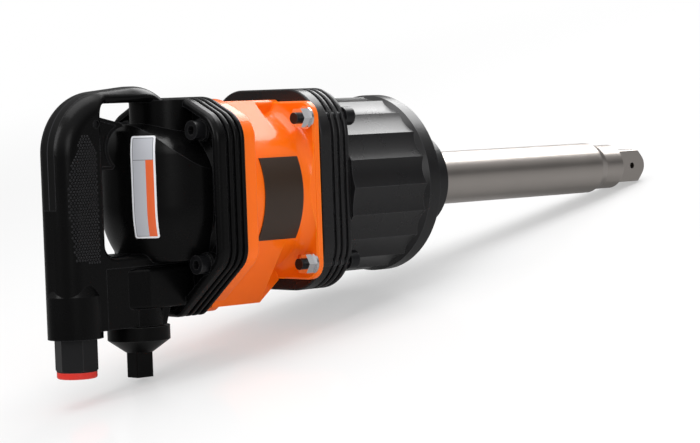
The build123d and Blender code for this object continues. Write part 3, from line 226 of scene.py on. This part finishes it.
def grain_group():
    """Surface skin: a fine height for bump, and a soft mottling for colour and gloss."""
    group, start, end = new_group(
        "casting_skin", "ShaderNodeTree", (("Fine Scale", "Float"), ("Broad Scale", "Float")),
        (("Height", "Float"), ("Mottle", "Float")))
    place = group.nodes.new("ShaderNodeTexCoord")
    for scale, detail, result in (("Fine Scale", 3.0, "Height"), ("Broad Scale", 4.0, "Mottle")):
        noise = group.nodes.new("ShaderNodeTexNoise")
        noise.inputs["Detail"].default_value = detail
        group.links.new(place.outputs["Object"], noise.inputs["Vector"])
        group.links.new(start.outputs[scale], noise.inputs["Scale"])
        group.links.new(noise.outputs["Fac"], end.inputs[result])
    return group


# The mask picks the edges that get a lighter colour: partly rubbed coat, partly a painted highlight.
def edge_group():
    """Edge mask: 1 where the surface turns sharply within the reach, 0 on open faces."""
    open_face, sharp_turn = 0.995, 0.90     # cosines of the turn
    group, start, end = new_group(
        "worn_and_highlit_edges", "ShaderNodeTree", (("Reach", "Float"),), (("Mask", "Float"),))
    bevel = group.nodes.new("ShaderNodeBevel")
    bevel.samples = 4
    group.links.new(start.outputs["Reach"], bevel.inputs["Radius"])
    surface = group.nodes.new("ShaderNodeNewGeometry")
    turn = group.nodes.new("ShaderNodeVectorMath")
    turn.operation = "DOT_PRODUCT"
    group.links.new(bevel.outputs["Normal"], turn.inputs[0])
    group.links.new(surface.outputs["Normal"], turn.inputs[1])
    spread = group.nodes.new("ShaderNodeMapRange")
    set_range(spread, open_face, sharp_turn)
    group.links.new(turn.outputs["Value"], spread.inputs["Value"])
    group.links.new(spread.outputs["Result"], end.inputs["Mask"])
    return group


def panel_group():
    """1 inside a rectangle with round corners that is drawn in Y and Z, 0 outside it."""
    softness = 0.00006
    group, start, end = new_group(
        "round_panel", "ShaderNodeTree",
        (("Place", "Vector"), ("Centre", "Vector"), ("Half Size", "Vector"), ("Corner", "Float")),
        (("Mask", "Float"),))

    def vector(operation, first, second=None):
        node = group.nodes.new("ShaderNodeVectorMath")
        node.operation = operation
        group.links.new(first, node.inputs[0])
        if isinstance(second, tuple):
            node.inputs[1].default_value = second
        elif second is not None:
            group.links.new(second, node.inputs[1])
        return node.outputs["Value" if operation == "LENGTH" else "Vector"]

    def number(operation, first, second):
        node = group.nodes.new("ShaderNodeMath")
        node.operation = operation
        for socket, value in zip(node.inputs, (first, second)):
            if isinstance(value, float):
                socket.default_value = value
            else:
                group.links.new(value, socket)
        return node.outputs[0]

    aside = vector("SUBTRACT", start.outputs["Place"], start.outputs["Centre"])
    aside = vector("ABSOLUTE", vector("MULTIPLY", aside, (0.0, 1.0, 1.0)))
    beyond = vector("SUBTRACT", aside, start.outputs["Half Size"])
    corner = group.nodes.new("ShaderNodeCombineXYZ")
    group.links.new(start.outputs["Corner"], corner.inputs["Y"])
    group.links.new(start.outputs["Corner"], corner.inputs["Z"])
    beyond = vector("ADD", beyond, corner.outputs["Vector"])
    outside = vector("LENGTH", vector("MAXIMUM", beyond, (0.0, 0.0, 0.0)))
    sides = group.nodes.new("ShaderNodeSeparateXYZ")
    group.links.new(beyond, sides.inputs["Vector"])
    inside = number("MINIMUM", number("MAXIMUM", sides.outputs["Y"], sides.outputs["Z"]), 0.0)
    edge = number("SUBTRACT", number("ADD", outside, inside), start.outputs["Corner"])
    soft = group.nodes.new("ShaderNodeMapRange")
    set_range(soft, softness, -softness)
    group.links.new(edge, soft.inputs["Value"])
    group.links.new(soft.outputs["Result"], end.inputs["Mask"])
    return group


casting_skin = grain_group()
worn_and_highlit_edges = edge_group()
round_panel = panel_group()
FINE_GRAIN = 1400.0             # noise scales, per metre
BROAD_GRAIN = 38.0
GRAIN_DEPTH = 0.0003
EDGE_REACH = 0.0008
GLOSS_SPREAD = 0.15             # how far the mottling moves the roughness each way


def place_in(tree, frame_matrix):
    """Shading point in another frame of the resting tool, in metres."""
    place = tree.nodes.new("ShaderNodeTexCoord")
    mapping = tree.nodes.new("ShaderNodeMapping")
    mapping.vector_type = "TEXTURE"
    mapping.inputs["Location"].default_value = frame_matrix.to_translation()
    mapping.inputs["Rotation"].default_value = frame_matrix.to_euler()
    tree.links.new(place.outputs["Object"], mapping.inputs["Vector"])
    return mapping.outputs["Vector"]


def paint_panel(material, place, centre, half_size, corner, colour):
    """Cover a rectangle of the finish with a plain colour."""
    tree = material.node_tree
    shader = tree.nodes["Principled BSDF"]
    panel = tree.nodes.new("ShaderNodeGroup")
    panel.node_tree = round_panel
    tree.links.new(place, panel.inputs["Place"])
    panel.inputs["Centre"].default_value = (0.0, *centre)
    panel.inputs["Half Size"].default_value = (0.0, *half_size)
    panel.inputs["Corner"].default_value = corner
    cover = tree.nodes.new("ShaderNodeMix")
    cover.data_type = "RGBA"
    cover.inputs["B"].default_value = (*colour, 1)
    tree.links.new(panel.outputs["Mask"], cover.inputs["Factor"])
    tree.links.new(shader.inputs["Base Color"].links[0].from_socket, cover.inputs["A"])
    tree.links.new(cover.outputs["Result"], shader.inputs["Base Color"])


def finish(name, colour, wear_and_highlight_colour, roughness, metallic=0.0, specular=0.5, coat=0.0,
           coat_roughness=0.06, bump=0.10, mottle=0.12):
    """Coated or plain metal, rubber or foil, with skin, mottled gloss and lighter edges that are partly wear
    and partly painted highlight.
    """
    material, tree, shader, _ = plain_material(name)
    shader.inputs["Metallic"].default_value = metallic
    shader.inputs["Specular IOR Level"].default_value = specular
    shader.inputs["Coat Weight"].default_value = coat
    shader.inputs["Coat Roughness"].default_value = coat_roughness
    skin = tree.nodes.new("ShaderNodeGroup")
    skin.node_tree = casting_skin
    skin.inputs["Fine Scale"].default_value = FINE_GRAIN
    skin.inputs["Broad Scale"].default_value = BROAD_GRAIN
    edges = tree.nodes.new("ShaderNodeGroup")
    edges.node_tree = worn_and_highlit_edges
    edges.inputs["Reach"].default_value = EDGE_REACH
    shade = tree.nodes.new("ShaderNodeMix")
    shade.data_type = "RGBA"
    shade.inputs["A"].default_value = (*colour, 1)
    shade.inputs["B"].default_value = (*[min(1.0, part * (1 + 2 * mottle)) for part in colour], 1)
    tree.links.new(skin.outputs["Mottle"], shade.inputs["Factor"])
    # Lighter edge colour: partly rubbed coat, partly a painted highlight along crests and rims.
    wear_and_highlight_tint = tree.nodes.new("ShaderNodeMix")
    wear_and_highlight_tint.data_type = "RGBA"
    wear_and_highlight_tint.inputs["B"].default_value = (*wear_and_highlight_colour, 1)
    tree.links.new(edges.outputs["Mask"], wear_and_highlight_tint.inputs["Factor"])
    tree.links.new(shade.outputs["Result"], wear_and_highlight_tint.inputs["A"])
    tree.links.new(wear_and_highlight_tint.outputs["Result"], shader.inputs["Base Color"])
    gloss = tree.nodes.new("ShaderNodeMapRange")
    set_range(gloss, 0.0, 1.0, roughness * (1 - GLOSS_SPREAD), roughness * (1 + GLOSS_SPREAD))
    tree.links.new(skin.outputs["Mottle"], gloss.inputs["Value"])
    tree.links.new(gloss.outputs["Result"], shader.inputs["Roughness"])
    relief = tree.nodes.new("ShaderNodeBump")
    relief.inputs["Strength"].default_value = bump
    relief.inputs["Distance"].default_value = GRAIN_DEPTH
    tree.links.new(skin.outputs["Height"], relief.inputs["Height"])
    tree.links.new(relief.outputs["Normal"], shader.inputs["Normal"])
    return material


def dress(material, *names):
    """Give CAD nodes a finish, in place of their flat one."""
    for name in names:
        node = nodes[name]
        node.data.materials.clear()
        node.data.materials.append(material)


# ---------------------------------------------------------------- head, trigger and knob
# The head with its D-handle is one aluminium casting under a satin black coat, and the trigger and
# the reversing knob get the same coat.
black_coat = finish("satin_black_coat", (0.0018, 0.0018, 0.0019), (0.030, 0.030, 0.032), 0.27,
                    specular=0.17, bump=0.04)
dress(black_coat, "backhead", "trigger")
dress(finish("knob_coat", (0.0016, 0.0016, 0.0016), (0.030, 0.030, 0.030), 0.30, specular=0.17),
      "reverse_knob")

# ---------------------------------------------------------------- scales of the grip
# Both sides of the grip carry a patch of small raised scales. They stand in staggered rows on the
# coat, and follow the grip's round back.
SCALE_PITCH = 0.0022
SCALE_SIDES = 6
SCALE_TOP_SHARE = 0.26          # radii of a scale's top and foot, as shares of the pitch
SCALE_FOOT_SHARE = 0.47
SCALE_HEIGHT = 0.00035
SCALE_SUNK = 0.00015
PATCH = (                       # outline in the tool's x and z
    (-0.289, 0.045), (-0.282, 0.044), (-0.2775, 0.036), (-0.2775, -0.041), (-0.297, -0.038),
    (-0.2995, -0.017), (-0.3005, 0.0065), (-0.298, 0.026))
PATCH_CORNER = (-0.303, 0.050)  # the top row starts here, and the rows fill the rectangle below it
PATCH_SIZE = (0.03, 0.10)
PATCH_STANDOFF = 0.03           # the rays' start beside the symmetry plane


def scale_rows_group():
    """A scale for every point of the patch, where a ray from the point meets the casting."""
    group, start, end = new_group(
        "scale_rows", "GeometryNodeTree",
        (("Patch", "Geometry"), ("Casting", "Object"), ("Pitch", "Float"), ("Height", "Float"),
         ("Sunk", "Float"), ("Aim", "Vector"), ("Coat", "Material")),
        (("Scales", "Geometry"),))

    def make(kind, **settings):
        node = group.nodes.new(kind)
        for name, value in settings.items():
            setattr(node, name, value)
        return node

    casting = make("GeometryNodeObjectInfo", transform_space="RELATIVE")
    group.links.new(start.outputs["Casting"], casting.inputs["Object"])
    hit = make("GeometryNodeRaycast")
    group.links.new(casting.outputs["Geometry"], hit.inputs["Target Geometry"])
    group.links.new(start.outputs["Aim"], hit.inputs["Ray Direction"])
    settle = make("GeometryNodeSetPosition")
    group.links.new(hit.outputs["Hit Position"], settle.inputs["Position"])
    group.links.new(hit.outputs["Is Hit"], settle.inputs["Selection"])
    keep = make("GeometryNodeStoreNamedAttribute", data_type="FLOAT_VECTOR")
    keep.inputs["Name"].default_value = "upright"
    group.links.new(start.outputs["Patch"], keep.inputs["Geometry"])
    group.links.new(hit.outputs["Hit Normal"], keep.inputs["Value"])
    group.links.new(keep.outputs["Geometry"], settle.inputs["Geometry"])
    upright = make("GeometryNodeInputNamedAttribute", data_type="FLOAT_VECTOR")
    upright.inputs["Name"].default_value = "upright"
    turn = make("FunctionNodeAlignEulerToVector", axis="Z")
    group.links.new(upright.outputs["Attribute"], turn.inputs["Vector"])
    cone = make("GeometryNodeMeshCone", fill_type="NGON")
    cone.inputs["Vertices"].default_value = SCALE_SIDES
    for socket, share in (("Radius Top", SCALE_TOP_SHARE), ("Radius Bottom", SCALE_FOOT_SHARE)):
        size = make("ShaderNodeMath", operation="MULTIPLY")
        size.inputs[1].default_value = share
        group.links.new(start.outputs["Pitch"], size.inputs[0])
        group.links.new(size.outputs[0], cone.inputs[socket])
    deep = make("ShaderNodeMath", operation="ADD")
    group.links.new(start.outputs["Height"], deep.inputs[0])
    group.links.new(start.outputs["Sunk"], deep.inputs[1])
    group.links.new(deep.outputs[0], cone.inputs["Depth"])
    sink = make("ShaderNodeMath", operation="MULTIPLY")
    sink.inputs[1].default_value = -1.0
    group.links.new(start.outputs["Sunk"], sink.inputs[0])
    down = make("ShaderNodeCombineXYZ")
    group.links.new(sink.outputs[0], down.inputs["Z"])
    seat = make("GeometryNodeTransform")
    group.links.new(cone.outputs["Mesh"], seat.inputs["Geometry"])
    group.links.new(down.outputs["Vector"], seat.inputs["Translation"])
    scatter = make("GeometryNodeInstanceOnPoints")
    group.links.new(settle.outputs["Geometry"], scatter.inputs["Points"])
    group.links.new(seat.outputs["Geometry"], scatter.inputs["Instance"])
    group.links.new(turn.outputs["Rotation"], scatter.inputs["Rotation"])
    real = make("GeometryNodeRealizeInstances")
    group.links.new(scatter.outputs["Instances"], real.inputs["Geometry"])
    paint = make("GeometryNodeSetMaterial")
    group.links.new(real.outputs["Geometry"], paint.inputs["Geometry"])
    group.links.new(start.outputs["Coat"], paint.inputs["Material"])
    group.links.new(paint.outputs["Geometry"], end.inputs["Scales"])
    return group


def in_patch(x, z):
    """Whether a place on the grip's side lies in the patch's outline."""
    inside = False
    for (x0, z0), (x1, z1) in zip(PATCH, PATCH[1:] + PATCH[:1]):
        if (z0 > z) != (z1 > z) and x < x0 + (z - z0) * (x1 - x0) / (z1 - z0):
            inside = not inside
    return inside


row_pitch = SCALE_PITCH * math.sqrt(3) / 2
spots = []
for row in range(int(PATCH_SIZE[1] / row_pitch)):
    z = PATCH_CORNER[1] - row * row_pitch
    for step in range(int(PATCH_SIZE[0] / SCALE_PITCH)):
        x = PATCH_CORNER[0] + (step + (row % 2) / 2) * SCALE_PITCH
        if in_patch(x, z):
            spots.append((x, z))
rows = scale_rows_group()
sockets = {item.name: item.identifier for item in rows.interface.items_tree if item.in_out == "INPUT"}
for name, side in (("grip_scales_right", -1), ("grip_scales_left", 1)):
    mesh = bpy.data.meshes.new("scale_starts")
    mesh.from_pydata([tool @ Vector((x, side * PATCH_STANDOFF, z)) for x, z in spots], [], [])
    patch = bpy.data.objects.new("scale_starts", mesh)
    scene.collection.objects.link(patch)
    spread = patch.modifiers.new("rows", "NODES")
    spread.node_group = rows
    spread[sockets["Casting"]] = nodes["backhead"]
    spread[sockets["Pitch"]] = SCALE_PITCH
    spread[sockets["Height"]] = SCALE_HEIGHT
    spread[sockets["Sunk"]] = SCALE_SUNK
    spread[sockets["Aim"]] = (0.0, float(-side), 0.0)
    spread[sockets["Coat"]] = black_coat
    evaluated = patch.evaluated_get(bpy.context.evaluated_depsgraph_get())
    solid = bpy.data.meshes.new_from_object(evaluated)
    bpy.data.objects.remove(patch)
    piece = bpy.data.objects.new(name, solid)
    scene.collection.objects.link(piece)
    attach(piece, "tool")

# ---------------------------------------------------------------- hammer case
# Cast, fluted and machined at the ring, then coated in a charcoal satin a shade lighter than the head.
# Four bolts through its flange hold it to the motor housing.
dress(finish("charcoal_coat", (0.0075, 0.0072, 0.0078), (0.050, 0.050, 0.053), 0.28, specular=0.42),
      "hammer_case")

# ---------------------------------------------------------------- motor housing
# The same kind of casting under a hard glossy orange coat. It holds the motor, between the head and
# the hammer case.
dress(finish("gloss_orange_coat", (0.95, 0.150, 0.0025), (1.0, 0.26, 0.01), 0.30, specular=0.20,
             coat=0.42, coat_roughness=0.03, bump=0.02, mottle=0.04),
      "motor_housing")

# ---------------------------------------------------------------- anvil
# Turned from bar and ground, with a long shank and a square end. It is bare steel, and runs in the
# bush of the hammer case.
dress(finish("turned_steel", (0.50, 0.46, 0.43), (0.66, 0.63, 0.60), 0.30, metallic=1.0, mottle=0.05),
      "anvil")

# ---------------------------------------------------------------- label on the dome
# White foil, glued to the dome, with a thin dark frame, a divider and a plain orange band. It has no
# lettering.
LABEL_TURN = math.radians(210)
LABEL_AXIS = (-0.203, 0.0, 0.0085)      # on the dome's upright axis, in the tool's frame
LABEL_INK = (0.10, 0.10, 0.12)
LABEL_FIELD = (0.52, 0.53, 0.57)
LABEL_ORANGE = (0.84, 0.135, 0.030)
FRAME_HALF = (0.00745, 0.0332)
FRAME_CORNER = 0.0006
FRAME_LINE = 0.00035
FIELD_CORNER = 0.0004
DIVIDER_CENTRE = (0.0, 0.0183)
DIVIDER_HALF = (FRAME_HALF[0], 0.00018)
BAND_CENTRE = (0.0047, -0.0075)
BAND_HALF = (0.00275, 0.0258)
label_frame = tool @ Matrix.Translation(LABEL_AXIS) @ Matrix.Rotation(LABEL_TURN, 4, "Z")
label = finish("label_foil", (0.84, 0.85, 0.88), (0.88, 0.88, 0.90), 0.30, bump=0.02, mottle=0.02)
place = place_in(label.node_tree, label_frame)
field_half = [half - FRAME_LINE for half in FRAME_HALF]
paint_panel(label, place, (0.0, 0.0), FRAME_HALF, FRAME_CORNER, LABEL_INK)
paint_panel(label, place, (0.0, 0.0), field_half, FIELD_CORNER, LABEL_FIELD)
paint_panel(label, place, DIVIDER_CENTRE, DIVIDER_HALF, 0.0, LABEL_INK)
paint_panel(label, place, BAND_CENTRE, BAND_HALF, 0.0, LABEL_ORANGE)
dress(label, "dome_sticker")

# ---------------------------------------------------------------- plate on the housing
# Dark anodised foil without print, bent round the side of the barrel and glued.
dress(finish("dark_foil", (0.030, 0.017, 0.010), (0.05, 0.04, 0.03), 0.30, specular=0.5, bump=0.02),
      "data_plate")

# ---------------------------------------------------------------- strip on the grip's back
# Soft black rubber, let into the grip, with a fine light line along the middle that is a painted
# highlight on its rounded crest.
# The light line along the middle is a painted highlight on the strip's crest.
CREST_GLINT_HALF = (0.00035, 0.2)
CREST_GLINT_COLOUR = (0.030, 0.030, 0.034)
glint_rubber = finish("rubber_with_painted_glint", (0.0015, 0.0015, 0.0016), (0.004, 0.004, 0.004), 0.6, specular=0.15)
paint_panel(glint_rubber, place_in(glint_rubber.node_tree, tool), (0.0, 0.0), CREST_GLINT_HALF, 0.0, CREST_GLINT_COLOUR)
dress(glint_rubber, "grip_strip")

# ---------------------------------------------------------------- fasteners and the air inlet
# Screws, bolts and the trigger's pin are blackened, the case's nuts are bright zinc, and the inlet's
# hexagon is dark steel with a red transport plug.
dress(finish("black_oxide", (0.008, 0.008, 0.009), (0.05, 0.05, 0.05), 0.30, metallic=0.3,
             specular=0.35),
      "head_screws", "head_washers", "case_bolts", "trigger_pin")
dress(finish("inlet_steel", (0.014, 0.014, 0.015), (0.05, 0.05, 0.05), 0.40, metallic=0.4,
             specular=0.35),
      "inlet_bushing")
dress(finish("bright_zinc", (0.70, 0.70, 0.72), (0.90, 0.90, 0.90), 0.10, metallic=1.0),
      "case_nuts", "case_washers")
dress(finish("red_cap", (0.62, 0.022, 0.012), (0.7, 0.06, 0.05), 0.35), "inlet_plug")

# ---------------------------------------------------------------- inside
# The motor, the hammers and the valves are machined steel. The bush, the throttle's seat and the
# strainer are bronze, the vanes laminate, the nose seal rubber and the gaskets fibre.
dress(finish("machined_steel", (0.42, 0.42, 0.43), (0.6, 0.6, 0.6), 0.30, metallic=1.0),
      "rear_end_plate", "front_end_plate", "cylinder_liner", "rotor", "rear_bearing", "front_bearing",
      "hammer_cage", "hammer_pin_upper", "hammer_pin_lower", "rear_hammer", "front_hammer",
      "throttle_valve", "throttle_spring", "throttle_plug", "reverse_valve", "detent_ball",
      "detent_spring")
dress(finish("bronze", (0.60, 0.38, 0.14), (0.7, 0.5, 0.2), 0.32, metallic=1.0),
      "anvil_bushing", "throttle_seat", "inlet_strainer")
dress(finish("black_rubber", (0.0015, 0.0015, 0.0016), (0.004, 0.004, 0.004), 0.7, specular=0.12),
      "nose_seal")
dress(finish("gasket_fibre", (0.02, 0.02, 0.018), (0.03, 0.03, 0.03), 0.8),
      "rear_gasket", "front_gasket")
dress(finish("vane_laminate", (0.25, 0.13, 0.05), (0.3, 0.2, 0.1), 0.55),
      *[name for name in nodes if name.startswith("vane_")])
